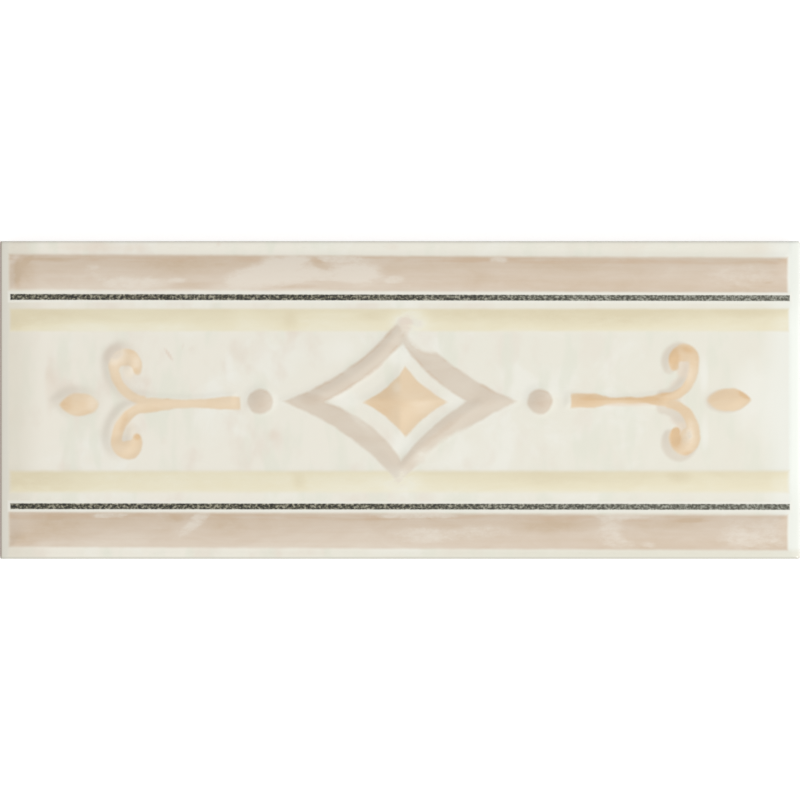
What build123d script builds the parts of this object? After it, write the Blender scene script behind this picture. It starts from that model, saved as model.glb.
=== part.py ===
from build123d import *

import os
from math import cos, radians, sin

# Border tile: one pressed and fired ceramic piece, glazed on its face. All sizes are in millimetres.
# It lies on its back. The origin is the centre of the back, +X runs along the tile and +Z out of its face.

# Body of the tile
tile_length = 200.0
tile_width = 79.5
body_thickness = 8.0  # from the back to the flat field of the face
corner_radius = 0.8  # upright corners
arris_radius = 1.2  # rounded edge round the face
back_chamfer = 0.8  # bevel round the back
relief_root = 2.0  # how deep the raised forms reach into the body

# Keying pockets in the back, which leave a grid of ribs at the back plane
back_border = 6.0
rib_width = 3.0
pocket_depth = 0.6
pocket_corner_radius = 2.0
pocket_columns = 8
pocket_rows = 3

# Raised bands along both long edges, from the edge inwards
end_margin = 2.6  # plain strip past the ends of the bands
edge_margin = 2.85  # plain strip outside the wide band
wide_band_width = 9.1
wide_band_rise = 0.8
line_gap = 0.95  # from the wide band to the line
line_width = 1.5
line_rise = 0.25
narrow_gap = 2.25  # from the line to the narrow band
narrow_band_width = 5.8
narrow_band_rise = 0.6

# Diamond with hollow sides in the middle of the face, from the outside inwards
ornament_rise = 1.0
edge_round = 0.35  # rounded top edges of the diamond and the buds
point_radius = 0.4  # blunt points of the diamond
ring_half_length = 29.0  # to where the sides would meet, as are the lengths and heights below
ring_side_radius = 49.0  # hollow sides of the ring
ring_point_length = 10.8  # from the ring's end point to its opening, along the tile
ring_point_height = 5.8  # the same, across the tile
opening_side_radius = 34.0
pad_gap_length = 7.1  # from the opening's end point to the pad, along the tile
pad_gap_height = 5.4  # the same, across the tile
pad_side_radius = 21.0

# Round stud beyond each end of the diamond
stud_gap = 3.0
stud_radius = 2.9
stud_rise = 0.9

# Stem beyond each stud, which forks into two curls
stem_gap = 3.45
stem_length = 24.4
stem_root_width = 3.4
stem_waist_width = 2.0
curl_neck_width = 2.1  # width of a curl where it leaves the stem
curl_shoulder_width = 2.8  # at its outermost point
curl_head_width = 4.2  # at its top
curl_tip_width = 1.4
curl_reach = 6.7  # from the fork to a curl's outermost point, along the tile
curl_rise = 8.2  # from the fork to the middle of a curl's head, across the tile
curl_head_radius = 2.75
curl_head_turn = 210  # degrees

# Almond-shaped bud beyond each fork
bud_gap = 2.85  # from the curls' outermost point to the bud
bud_length = 10.0
bud_width = 5.6

# Places that follow from the sizes above, for the half of the face with positive Y
wide_band_outer_y = tile_width / 2 - edge_margin
wide_band_inner_y = wide_band_outer_y - wide_band_width
line_outer_y = wide_band_inner_y - line_gap
line_inner_y = line_outer_y - line_width
narrow_band_outer_y = line_inner_y - narrow_gap
narrow_band_y = narrow_band_outer_y - narrow_band_width / 2
band_length = tile_length - 2 * end_margin

# Places along the tile, for the half of the face with positive X
ring_half_height = narrow_band_y  # the diamond's points lie on the middle of the narrow bands
stud_x = ring_half_length + stud_gap + stud_radius
stem_root_x = stud_x + stud_radius + stem_gap
fork_x = stem_root_x + stem_length
curl_start_y = 0.45 * curl_neck_width  # the two curls overlap a little where they leave the stem
bud_x = fork_x + curl_reach + curl_shoulder_width / 2 + bud_gap + bud_length / 2

QUARTER_TURN = 90  # degrees
CURL_STEP = 22.5  # degrees between the points of a curl's outline


def raised(outline, rise):
    """A form with this outline that stands out of the field and is rooted in the body."""
    return extrude(Pos(0, 0, body_thickness - relief_root) * outline, relief_root + rise)


def rounded(form):
    """The same form with its top edges rounded."""
    return fillet(form.faces().sort_by(Axis.Z)[-1].edges(), edge_round)


def make_body():
    """Plain slab with a rounded edge round its face and a bevel round its back."""
    slab = extrude(RectangleRounded(tile_length, tile_width, corner_radius), body_thickness)
    slab = fillet(slab.faces().sort_by(Axis.Z)[-1].edges(), arris_radius)
    return chamfer(slab.faces().sort_by(Axis.Z)[0].edges(), back_chamfer)


def make_pockets():
    """Shallow pockets that let the adhesive key into the back."""
    pitch_x = (tile_length - 2 * back_border + rib_width) / pocket_columns
    pitch_y = (tile_width - 2 * back_border + rib_width) / pocket_rows
    pocket = RectangleRounded(pitch_x - rib_width, pitch_y - rib_width, pocket_corner_radius)
    places = GridLocations(pitch_x, pitch_y, pocket_columns, pocket_rows)
    return [extrude(place * pocket, pocket_depth) for place in places]


def make_band(inner_y, width, rise):
    """Raised band along the tile with a shallow round top."""
    root_z = body_thickness - relief_root
    root = Polyline(
        (inner_y, body_thickness),
        (inner_y, root_z),
        (inner_y + width, root_z),
        (inner_y + width, body_thickness),
    )
    top = ThreePointArc(root @ 1, (inner_y + width / 2, body_thickness + rise), root @ 0)
    return extrude(Plane.YZ * make_face(root + top), band_length / 2, both=True)


def make_line():
    """Thin flat line of grit between the two bands."""
    outline = Pos(0, (line_inner_y + line_outer_y) / 2) * Rectangle(band_length, line_width)
    return raised(outline, line_rise)


def hollow_diamond(half_length, half_height, side_radius):
    """Diamond with blunt points, whose four sides are arcs that are drawn in towards its centre."""
    tips = [(half_length, 0), (0, half_height), (-half_length, 0), (0, -half_height)]
    sides = [RadiusArc(start, end, side_radius) for start, end in zip(tips, tips[1:] + tips[:1])]
    return fillet(make_face(sides).vertices(), point_radius)


def make_diamond():
    """Ring with hollow sides, and a smaller diamond-shaped pad inside its opening."""
    opening_half_length = ring_half_length - ring_point_length
    opening_half_height = ring_half_height - ring_point_height
    ring = hollow_diamond(ring_half_length, ring_half_height, ring_side_radius)
    ring -= hollow_diamond(opening_half_length, opening_half_height, opening_side_radius)
    pad_half_length = opening_half_length - pad_gap_length
    pad_half_height = opening_half_height - pad_gap_height
    pad = hollow_diamond(pad_half_length, pad_half_height, pad_side_radius)
    return [rounded(raised(ring, ornament_rise)), rounded(raised(pad, ornament_rise))]


def make_stud():
    """Round stud with a domed top."""
    side = Polyline(
        (0, body_thickness + stud_rise),
        (0, body_thickness - relief_root),
        (stud_radius, body_thickness - relief_root),
        (stud_radius, body_thickness),
    )
    dome = TangentArc(side @ 0, side @ 1, tangent=(1, 0))
    return Pos(stud_x, 0) * revolve(Plane.XZ * make_face(side + dome), Axis.Z)


def make_stem():
    """Stem that narrows from its root to its waist and widens again to the fork."""
    root, waist = stem_root_width / 2, stem_waist_width / 2
    fork = curl_start_y + curl_neck_width / 2
    waist_x = (stem_root_x + fork_x) / 2
    upper = ThreePointArc((stem_root_x, root), (waist_x, waist), (fork_x, fork))
    lower = ThreePointArc((fork_x, -fork), (waist_x, -waist), (stem_root_x, -root))
    ends = [Line(upper @ 1, lower @ 0), Line(lower @ 1, upper @ 0)]
    return raised(make_face([upper, lower] + ends), ornament_rise)


def curl_width(turned):
    """Width of a curl where its line has turned by this many degrees."""
    stations = [
        (0, curl_neck_width),
        (QUARTER_TURN, curl_shoulder_width),
        (2 * QUARTER_TURN, curl_head_width),
        (QUARTER_TURN + curl_head_turn, curl_tip_width),
    ]
    for (turn_a, width_a), (turn_b, width_b) in zip(stations, stations[1:]):
        if turned <= turn_b:
            return width_a + (width_b - width_a) * (turned - turn_a) / (turn_b - turn_a)
    return curl_tip_width


def curl_point(turned, side):
    """Point of a curl: side is 1 on its inner edge, -1 on its outer edge and 0 on its middle line."""
    centre = Vector(fork_x, curl_start_y + curl_rise)
    reach, rise = curl_reach, curl_rise
    if turned > QUARTER_TURN:
        centre += Vector(curl_reach - curl_head_radius, 0)
        reach, rise = curl_head_radius, curl_head_radius
    angle = radians(turned)
    middle = centre + Vector(reach * sin(angle), -rise * cos(angle))
    inwards = Vector(-rise * sin(angle), reach * cos(angle)).normalized()
    return middle + inwards * (side * curl_width(turned) / 2)


def make_curl():
    """One curl: it turns off the stem on a quarter ellipse, and its thick head rolls in on a tight arc."""
    full_turn = QUARTER_TURN + curl_head_turn
    steps = round(full_turn / CURL_STEP)
    turns = [full_turn * step / steps for step in range(steps + 1)]
    outer = Spline([curl_point(turned, -1) for turned in turns])
    inner = Spline([curl_point(turned, 1) for turned in reversed(turns)])
    tip_end = curl_point(full_turn, 0) + (outer % 1).normalized() * curl_tip_width / 2
    tip = ThreePointArc(outer @ 1, tip_end, inner @ 0)
    foot = Line(inner @ 1, outer @ 0)
    return raised(make_face([outer, tip, inner, foot]), ornament_rise)


def make_bud():
    """Almond outline with a point at each end."""
    ends = Vector(bud_x - bud_length / 2, 0), Vector(bud_x + bud_length / 2, 0)
    upper = ThreePointArc(ends[0], (bud_x, bud_width / 2), ends[1])
    lower = ThreePointArc(ends[1], (bud_x, -bud_width / 2), ends[0])
    return rounded(raised(make_face([upper, lower]), ornament_rise))


def make_tile():
    """The whole tile: body, back pockets, and the relief on both sides of the face's middle lines."""
    bands = [
        make_band(wide_band_inner_y, wide_band_width, wide_band_rise),
        make_line(),
        make_band(narrow_band_outer_y - narrow_band_width, narrow_band_width, narrow_band_rise),
    ]
    curl = make_curl()
    sprays = [make_stud(), make_stem(), curl, mirror(curl, Plane.XZ), make_bud()]
    relief = bands + [mirror(band, Plane.XZ) for band in bands]
    relief += sprays + [mirror(form, Plane.YZ) for form in sprays]
    relief += make_diamond()
    return make_body() - make_pockets() + relief


os.makedirs("parts", exist_ok=True)
tile = make_tile()
print("tile volume in cubic centimetres:", round(tile.volume / 1000, 2), "solids:", len(tile.solids()))
export_step(tile, "parts/border_tile.step")
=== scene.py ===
# %% [markdown]
# # A glazed border tile
# A border tile is one slab of clay. A steel die presses its bands and ornaments into low relief, the
# colours are washed on, and a clear glaze melts over everything in the kiln. This lesson models that slab
# as one mesh: a fine grid that is lifted like the die's face, with a rounded rim, sides and a keyed back.
# Then nodes paint it.

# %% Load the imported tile
import bpy
import math
import numpy as np
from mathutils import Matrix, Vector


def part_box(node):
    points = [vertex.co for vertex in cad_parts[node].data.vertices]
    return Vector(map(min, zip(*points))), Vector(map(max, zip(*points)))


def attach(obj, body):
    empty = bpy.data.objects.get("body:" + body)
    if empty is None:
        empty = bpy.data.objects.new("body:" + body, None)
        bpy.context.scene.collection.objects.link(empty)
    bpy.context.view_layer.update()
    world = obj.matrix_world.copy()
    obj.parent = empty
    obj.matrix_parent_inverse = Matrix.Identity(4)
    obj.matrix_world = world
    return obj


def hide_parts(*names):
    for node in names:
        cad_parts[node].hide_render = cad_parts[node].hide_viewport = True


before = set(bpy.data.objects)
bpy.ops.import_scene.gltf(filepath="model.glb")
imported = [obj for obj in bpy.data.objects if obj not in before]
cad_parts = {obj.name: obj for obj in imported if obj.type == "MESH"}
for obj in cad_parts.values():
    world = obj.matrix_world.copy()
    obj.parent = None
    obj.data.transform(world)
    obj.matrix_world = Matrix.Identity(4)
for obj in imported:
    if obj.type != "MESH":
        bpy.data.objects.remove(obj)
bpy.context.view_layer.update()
tile_low, tile_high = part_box("border_tile")

# %% [markdown]
# ## Sizes
# Everything below is thought out in millimetres, as a tile maker would, and turned into metres only where
# Blender needs it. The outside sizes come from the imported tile, so the picture can't drift away from the
# solid.

# %% Sizes of the slab
MM = 0.001  # metres in a millimetre
tile_length, tile_width, tile_height = [(high - low) / MM for low, high in zip(tile_low, tile_high)]
relief_height = 1.0  # from the field to the highest point of the relief
field_z = tile_height - relief_height
back_bevel = 0.8
TOUCH = 0.01  # millimetres, within which two places count as the same
print("tile", round(tile_length, 2), "x", round(tile_width, 2), "x", round(tile_height, 2), "mm")

# %% Sizes of the raised bands, which are mirrored about the tile's long middle line
band_end = 97.3
wide_band = {"y": 32.3, "half": 4.55, "rise": 0.5}
straw_band = {"y": 20.2, "half": 2.9, "rise": 0.16}
grit_line = {"y": 26.1, "half": 0.75, "rise": 0.08}
print("rises of the bands", [band["rise"] for band in (wide_band, straw_band, grit_line)], "mm")

# %% Sizes of the ornaments, which are mirrored about both middle lines
ring = {"length": 29.0, "height": 20.4, "radius": 57.0}
opening = {"length": 18.0, "height": 14.8, "radius": 42.0}
pad = {"length": 11.1, "height": 9.0, "radius": 21.0}
stud = {"x": 34.9, "radius": 2.9}
stem = {"root": 41.25, "fork": 65.65, "root_half": 1.7, "waist_half": 1.0, "fork_half": 2.0}
stem["middle"], stem["fork_drop"] = 0.0, 0.0
stem["waist"] = (0.1, 0.4, 0.6)  # where the root ends and the waist starts and ends, as shares of the length
curl = {"reach": 6.7, "rise": 8.1, "lean": 1.1, "head_radius": 2.65, "turn": 290}
curl["half"] = {0: 1.05, 90: 1.4, 180: 2.2, 290: 1.0}  # half width by how many degrees the curl has turned
curl_start_y = 0.95
bud = {"x": 81.6, "half_length": 5.0, "half_width": 2.8}
print("ornaments reach", bud["x"] + bud["half_length"], "mm from the middle")

# %% [markdown]
# ## Working in edit mode
# Operators act on what is selected, so each step first clears the selection and then picks faces or edges
# by their place. These helpers do the picking, with all the coordinates in one array.


# %% Helpers to select by place
def start_clean():
    bpy.ops.object.select_all(action="DESELECT")


def coordinates(obj):
    """The vertices' places in millimetres."""
    flat = np.empty(len(obj.data.vertices) * 3)
    obj.data.vertices.foreach_get("co", flat)
    return flat.reshape(-1, 3) / MM


def edge_ends(obj):
    """The places of both ends of every edge."""
    flat = np.empty(len(obj.data.edges) * 2, dtype=int)
    obj.data.edges.foreach_get("vertices", flat)
    return coordinates(obj)[flat.reshape(-1, 2)]


def face_centres(obj):
    flat = np.empty(len(obj.data.polygons) * 3)
    obj.data.polygons.foreach_get("center", flat)
    return flat.reshape(-1, 3) / MM


def select_only(obj, kind, chosen):
    """Goes to edit mode with only these elements selected: kind is VERT, EDGE or FACE."""
    bpy.ops.object.mode_set(mode="EDIT")
    bpy.ops.mesh.select_mode(type=kind)
    bpy.ops.mesh.select_all(action="DESELECT")
    bpy.ops.object.mode_set(mode="OBJECT")
    elements = {"VERT": obj.data.vertices, "EDGE": obj.data.edges, "FACE": obj.data.polygons}[kind]
    elements.foreach_set("select", np.asarray(chosen, dtype=bool))
    bpy.ops.object.mode_set(mode="EDIT")


def finish_edit():
    bpy.ops.object.mode_set(mode="OBJECT")


# %% [markdown]
# ## The face
# The face starts as a flat grid. Its cells have to be small enough for the soft slopes of the relief,
# about half a millimetre. The thin lines of grit need finer rows, so the edges that cross them are
# subdivided once more.

# %% A fine grid for the face
cell = 0.5
rim_x, rim_y = 2.2, 1.0  # width of the rounded rim at the ends and along the sides
flat_length, flat_width = tile_length - 2 * rim_x, tile_width - 2 * rim_y
columns, rows = round(flat_length / cell), round(flat_width / cell)
start_clean()
bpy.ops.mesh.primitive_grid_add(
    x_subdivisions=columns, y_subdivisions=rows, size=1, location=(0, 0, field_z * MM)
)
tile = bpy.context.object
tile.name = "glazed_border_tile"
tile.scale = (flat_length * MM, flat_width * MM, 1)
bpy.ops.object.transform_apply(location=True, rotation=True, scale=True)

ends = edge_ends(tile)
runs_across = np.abs(ends[:, 0, 1] - ends[:, 1, 1]) > 0.1 * cell
line_offset = np.abs(np.abs(ends[:, :, 1].mean(axis=1)) - grit_line["y"])
select_only(tile, "EDGE", runs_across & (line_offset < grit_line["half"] + cell))
bpy.ops.mesh.subdivide(number_cuts=1)
finish_edit()
print("face grid", columns, "x", rows, "faces", len(tile.data.polygons))

# %% [markdown]
# ## Rim, sides and back
# At the rim the glaze falls away gently and then rounds over the arris. Extruding the grid's outer loop
# step by step, with a small resize each time, follows that profile. The same loop then runs down the
# side, turns in at the bevel, and is filled to close the back.

# %% Grow the rim and the sides from the outer loop
rim_drop = 0.95  # from the field down to where the rim is widest
rim_profile = [  # outwards along the tile, outwards across it, and down, from the flat field
    (0.0, 0.0, 0.0),
    (0.3, 0.45, 0.03),
    (1.0, 0.68, 0.14),
    (1.6, 0.78, 0.25),
    (1.85, 0.84, 0.34),
    (2.03, 0.91, 0.48),
    (2.15, 0.96, 0.66),
    (rim_x, rim_y, rim_drop),
    (rim_x, rim_y, 3.0),  # this loop and the next keep the faces of the side short
    (rim_x, rim_y, field_z - 2.3),
    (rim_x, rim_y, field_z - back_bevel),
    (rim_x - back_bevel, rim_y - back_bevel, field_z),
]
ends = edge_ends(tile)
on_end = np.all(np.abs(np.abs(ends[:, :, 0]) - flat_length / 2) < TOUCH, axis=1)
on_side = np.all(np.abs(np.abs(ends[:, :, 1]) - flat_width / 2) < TOUCH, axis=1)
select_only(tile, "EDGE", on_end | on_side)
for (old_x, old_y, old_drop), (new_x, new_y, new_drop) in zip(rim_profile, rim_profile[1:]):
    bpy.ops.mesh.extrude_region_move(TRANSFORM_OT_translate={"value": (0, 0, (old_drop - new_drop) * MM)})
    stretch_x = (flat_length + 2 * new_x) / (flat_length + 2 * old_x)
    stretch_y = (flat_width + 2 * new_y) / (flat_width + 2 * old_y)
    bpy.ops.transform.resize(value=(stretch_x, stretch_y, 1), center_override=(0, 0, 0))
bpy.ops.mesh.edge_face_add()
finish_edit()
print("closed slab, faces", len(tile.data.polygons))

# %% Draw in the four upright corners
corner_zone, corner_pull = 0.4, 0.1  # width of a corner, and how far it is drawn in
places = coordinates(tile)
for sign_x in (-1, 1):
    for sign_y in (-1, 1):
        from_end = tile_length / 2 - sign_x * places[:, 0]
        from_side = tile_width / 2 - sign_y * places[:, 1]
        at_corner = (from_end < corner_zone) & (from_side < corner_zone)
        select_only(tile, "VERT", at_corner & (places[:, 2] > back_bevel - TOUCH))
        bpy.ops.transform.translate(value=(-sign_x * corner_pull * MM, -sign_y * corner_pull * MM, 0))
        finish_edit()
print("corners drawn in by", corner_pull, "mm")

# %% [markdown]
# ## The keyed back
# The back is bare clay with shallow pockets, so that the adhesive can grip. Cutting the one big back face
# along the ribs with bisect leaves the pockets as faces of their own, which are then pushed in.

# %% Cut and push in the back pockets
back_border, rib_width, pocket_depth, pocket_draft = 6.0, 3.0, 0.6, 0.9
pocket_columns, pocket_rows = 8, 3
pitch_x = (tile_length - 2 * back_border + rib_width) / pocket_columns
pitch_y = (tile_width - 2 * back_border + rib_width) / pocket_rows
half_pocket_x, half_pocket_y = (pitch_x - rib_width) / 2, (pitch_y - rib_width) / 2
pocket_xs = [(column - (pocket_columns - 1) / 2) * pitch_x for column in range(pocket_columns)]
pocket_ys = [(row - (pocket_rows - 1) / 2) * pitch_y for row in range(pocket_rows)]
cuts = [(x + side * half_pocket_x, 0) for x in pocket_xs for side in (-1, 1)]
cuts += [(0, y + side * half_pocket_y) for y in pocket_ys for side in (-1, 1)]
for x, y in cuts:
    select_only(tile, "FACE", face_centres(tile)[:, 2] < TOUCH)
    bpy.ops.mesh.bisect(plane_co=(x * MM, y * MM, 0), plane_no=(1, 0, 0) if x else (0, 1, 0))
    finish_edit()

centres = face_centres(tile)
in_pocket_x = np.any([np.abs(centres[:, 0] - x) < half_pocket_x for x in pocket_xs], axis=0)
in_pocket_y = np.any([np.abs(centres[:, 1] - y) < half_pocket_y for y in pocket_ys], axis=0)
select_only(tile, "FACE", (centres[:, 2] < TOUCH) & in_pocket_x & in_pocket_y)
bpy.ops.mesh.inset(thickness=pocket_draft * MM, depth=-pocket_depth * MM, use_individual=True)
finish_edit()
print("back pockets", pocket_columns * pocket_rows, "faces", len(tile.data.polygons))

# %% [markdown]
# ## The die's drawing
# Each ornament is described by its distance field: how far a point lies inside (+) or outside (-) its
# outline. The same fields serve twice, first to lift the clay and later to place the colours.


# %% Distance fields of the diamond, the studs and the buds
def hollow_diamond(x, y, size):
    """Distance inside a diamond whose sides are arcs about centres that lie outside it."""
    chord = math.hypot(size["length"], size["height"])
    stand_off = math.sqrt(size["radius"] ** 2 - chord**2 / 4)
    centre_x = size["length"] / 2 + stand_off * size["height"] / chord
    centre_y = size["height"] / 2 + stand_off * size["length"] / chord
    inside = np.hypot(np.abs(x) - centre_x, np.abs(y) - centre_y) - size["radius"]
    return np.minimum(inside, np.minimum(size["length"] - np.abs(x), size["height"] - np.abs(y)))


def studs(x, y, size):
    return size["radius"] - np.hypot(np.abs(x) - size["x"], y)


def buds(x, y, size):
    """Egg that is round towards the curls and pointed between two arcs at its outer end."""
    along = np.abs(x) - size["x"]
    length, width = size["half_length"], size["half_width"]
    arc_radius = (length**2 + width**2) / (2 * width)
    pointed = arc_radius - np.hypot(along, np.abs(y) + arc_radius - width)
    egg = width - width * np.hypot(along / length, y / width)
    return np.where(along > 0, pointed, egg)


# %% Distance fields of the scrolls and the bands
fork_overlap = 1  # how far a stem reaches into its curls
curl_discs = 76  # enough for a curl to look smooth
far_outside = -100.0


def smooth_step(value, low, high):
    part = np.clip((value - low) / (high - low), 0, 1)
    return part * part * (3 - 2 * part)


def stems(x, y, size):
    """Stem with a broad root and a waist, which widens again to the fork."""
    along = (np.abs(x) - size["root"]) / (size["fork"] - size["root"])
    root_end, waist_start, waist_end = size["waist"]
    at_root = 1 - smooth_step(along, root_end, waist_start)
    at_fork = smooth_step(along, waist_end, 1)
    half = size["waist_half"] + (size["root_half"] - size["waist_half"]) * at_root
    half = half + (size["fork_half"] - size["waist_half"]) * at_fork
    middle = size["middle"] - size["fork_drop"] * at_fork
    to_end = np.minimum(np.abs(x) - size["root"], size["fork"] + fork_overlap - np.abs(x))
    return np.minimum(half - np.abs(y - middle), to_end)


def curls(x, y, size):
    """Curl drawn as a row of overlapping discs: an arm that leaves the stem, then a round head.

    A lean above 1 draws the arm in from a quarter ellipse.
    """
    best = np.full(np.shape(x), far_outside)
    for turned in np.linspace(0, size["turn"], curl_discs):
        turn = math.radians(turned)
        if turned < 90:
            disc_x = stem["fork"] + size["reach"] * math.sin(turn) ** size["lean"]
            disc_y = curl_start_y + size["rise"] * (1 - math.cos(turn) ** size["lean"])
        else:
            disc_x = stem["fork"] + size["reach"] - size["head_radius"] * (1 - math.sin(turn))
            disc_y = curl_start_y + size["rise"] - size["head_radius"] * math.cos(turn)
        half = np.interp(turned, list(size["half"]), list(size["half"].values()))
        best = np.maximum(best, half - np.hypot(np.abs(x) - disc_x, np.abs(y) - disc_y))
    return best


def bands(x, y, size):
    return np.minimum(size["half"] - np.abs(np.abs(y) - size["y"]), band_end - np.abs(x))


# %% [markdown]
# ## Lifting the clay
# A pressed and glazed relief has no sharp steps: it swells up over a wide foot. Each distance is turned
# into a soft height, and the heights are joined so that no crease is left where two feet meet. The result
# is painted into a vertex group, and the Displace modifier lifts the grid by that weight.

# %% From distance to height
foot_softness, foot_trim = 0.006, 0.004  # how round the foot of a band is, and what cuts off its long tail
join_power = 4  # the higher it is, the narrower the soft valley between two feet


def swell(distance, foot, crown, rise):
    """Soft slope that starts this far outside the outline and reaches its top this far inside it."""
    return rise * smooth_step(distance, -foot, crown)


def dome(distance, size):
    """Round top across a band, with a soft foot."""
    part = 1 - np.clip(distance / size["half"], -0.5, 1)
    arch = size["rise"] * (1 - part**2)
    return 0.5 * (arch + np.sqrt(arch**2 + foot_softness)) - foot_trim


def relief(x, y):
    """Height of the face above the field, in millimetres."""
    ring_inside = np.minimum(hollow_diamond(x, y, ring), -hollow_diamond(x, y, opening))
    on_left = x < 0  # the right spray was pressed lower, with a narrower foot
    spray_foot = np.where(on_left, 1.2, 0.5)
    curl_rise, bud_rise = np.where(on_left, 0.45, 0.26), np.where(on_left, 0.5, 0.3)
    forms = [
        dome(bands(x, y, wide_band), wide_band),
        dome(bands(x, y, straw_band), straw_band),
        swell(bands(x, y, grit_line), foot=0.3, crown=0.4, rise=grit_line["rise"]),
        swell(ring_inside, foot=1.4, crown=2.6, rise=0.42),
        swell(hollow_diamond(x, y, pad), foot=1.1, crown=5.6, rise=relief_height),
        swell(studs(x, y, stud), foot=2.0, crown=2.8, rise=0.6),
        swell(buds(x, y, bud), foot=spray_foot, crown=2.2, rise=bud_rise),
        swell(stems(x, y, stem), foot=0.8, crown=1.2, rise=0.3),
        swell(curls(x, y, curl), foot=spray_foot, crown=1.7, rise=curl_rise),
    ]
    return np.sum(np.clip(forms, 0, None) ** join_power, axis=0) ** (1 / join_power)


# %% Paint the weights and displace
places = coordinates(tile)
on_face = (places[:, 2] > field_z - TOUCH) & (np.abs(places[:, 0]) < flat_length / 2 + TOUCH)
heights = np.where(on_face, relief(places[:, 0], places[:, 1]), 0)
group = tile.vertex_groups.new(name="relief")
least_height = 0.001
for index in np.flatnonzero(heights > least_height):
    group.add([int(index)], float(min(heights[index] / relief_height, 1)), "REPLACE")

start_clean()
tile.select_set(True)
bpy.context.view_layer.objects.active = tile
lift = tile.modifiers.new("press", "DISPLACE")
lift.direction = "Z"
lift.mid_level = 0
lift.strength = relief_height * MM
lift.vertex_group = "relief"
soften = tile.modifiers.new("glaze_flow", "SMOOTH")
soften.factor = 0.5
soften.iterations = 4
soften.use_x = False
soften.use_y = False
soften.vertex_group = "relief"
for modifier in list(tile.modifiers):
    bpy.ops.object.modifier_apply(modifier=modifier.name)
bpy.ops.object.shade_smooth_by_angle(angle=math.radians(50))
print("relief up to", round(coordinates(tile)[:, 2].max() - field_z, 3), "mm")

# %% [markdown]
# ## Where the colours lie
# The colours are laid on after pressing, and each one sits a little off the relief. The tan is shifted
# and turned, the taupe hangs slightly low, and the left and right sprays are drawn by hand, not mirrored.
# The distances are kept as attributes of the mesh, in millimetres, and the nodes turn them into soft
# painted edges.


# %% Outlines of the taupe wash: the ring and the studs
def arc_outline(x, y, tips, radii):
    """Distance inside four tips, counterclockwise from the right one, that are joined by hollow arcs."""
    sides = [tips[0][0] - x, tips[1][1] - y, x - tips[2][0], y - tips[3][1]]
    for (start_x, start_y), (end_x, end_y), radius in zip(tips, tips[1:] + tips[:1], radii):
        chord = math.hypot(end_x - start_x, end_y - start_y)
        stand_off = math.sqrt(radius**2 - chord**2 / 4) / chord
        centre_x = (start_x + end_x) / 2 + stand_off * (end_y - start_y)
        centre_y = (start_y + end_y) / 2 - stand_off * (end_x - start_x)
        sides.append(np.hypot(x - centre_x, y - centre_y) - radius)
    return np.min(sides, axis=0)


ring_tips = [(29.5, -0.35), (0.3, 20.6), (-29.4, -0.35), (-0.4, -20.6)]
ring_radii = [74, 62, 72, 105]  # upper right, upper left, lower left, lower right
opening_tips = [(16.7, -0.3), (0.6, 14.3), (-18.6, -0.5), (0.3, -15.1)]
opening_radii = [43, 62, 36, 66]
washed_out = [(9.5, 20.7, 9.0), (25.4, -31.5, 26.0)]  # middle and radius of drops on the right shoulders
drop_softness = 0.55  # below 1, the edge of a drop fades more slowly than that of the brush
painted_stud_y, painted_stud = -0.38, dict(stud, radius=3.15)


def taupe_wash(x, y):
    """Distance inside the taupe wash."""
    left_out = arc_outline(x, y, opening_tips, opening_radii)
    for drop_x, drop_y, radius in washed_out:
        left_out = np.maximum(left_out, drop_softness * (radius - np.hypot(x - drop_x, y - drop_y)))
    around = np.minimum(arc_outline(x, y, ring_tips, ring_radii), -left_out)
    return np.maximum(around, studs(x, y - painted_stud_y, painted_stud))


# %% Outlines of the tan wash: the scrolls, the buds and the pad
tan_shift_x, tan_shift_y, tan_turn = 1.4, -0.56, math.radians(0.4)
painted_pad = {"length": 10.6, "height": 8.9, "radius": 29.0}
left_stem = dict(stem, root_half=1.65, waist_half=1.08, fork_half=1.87, middle=0.04, fork_drop=0.42)
left_stem["waist"] = (0.1, 0.43, 0.55)
right_stem = dict(stem, root_half=1.78, waist_half=0.8, fork_half=1.75, middle=0.1, fork_drop=-0.15)
right_stem["waist"] = (0.22, 0.42, 0.72)
left_upper_curl = {"reach": 7.1, "rise": 7.9, "lean": 1.2, "head_radius": 2.9, "turn": 280}
left_upper_curl["half"] = {0: 1.1, 45: 1.2, 90: 1.2, 180: 2.3, 280: 1.0}
left_lower_curl = {"reach": 6.65, "rise": 7.95, "lean": 1.2, "head_radius": 2.6, "turn": 282}
left_lower_curl["half"] = {0: 1.2, 45: 1.3, 90: 1.35, 135: 1.7, 195: 2.4, 282: 1.0}
right_upper_curl = {"reach": 6.4, "rise": 8.45, "lean": 1.0, "head_radius": 2.5, "turn": 288}
right_upper_curl["half"] = {0: 1.0, 90: 1.3, 180: 2.3, 288: 1.1}
right_lower_curl = {"reach": 6.3, "rise": 8.0, "lean": 1.0, "head_radius": 2.4, "turn": 298}
right_lower_curl["half"] = {0: 1.0, 45: 1.4, 90: 1.55, 180: 2.3, 298: 1.15}
pooled_drop = (70.4, -8.8, 1.9)  # middle and radius of the colour that filled the lower right curl
left_bud = dict(bud, half_length=4.8, half_width=2.85)
right_bud = dict(bud, x=81.0, half_length=5.3, half_width=2.85)


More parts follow.
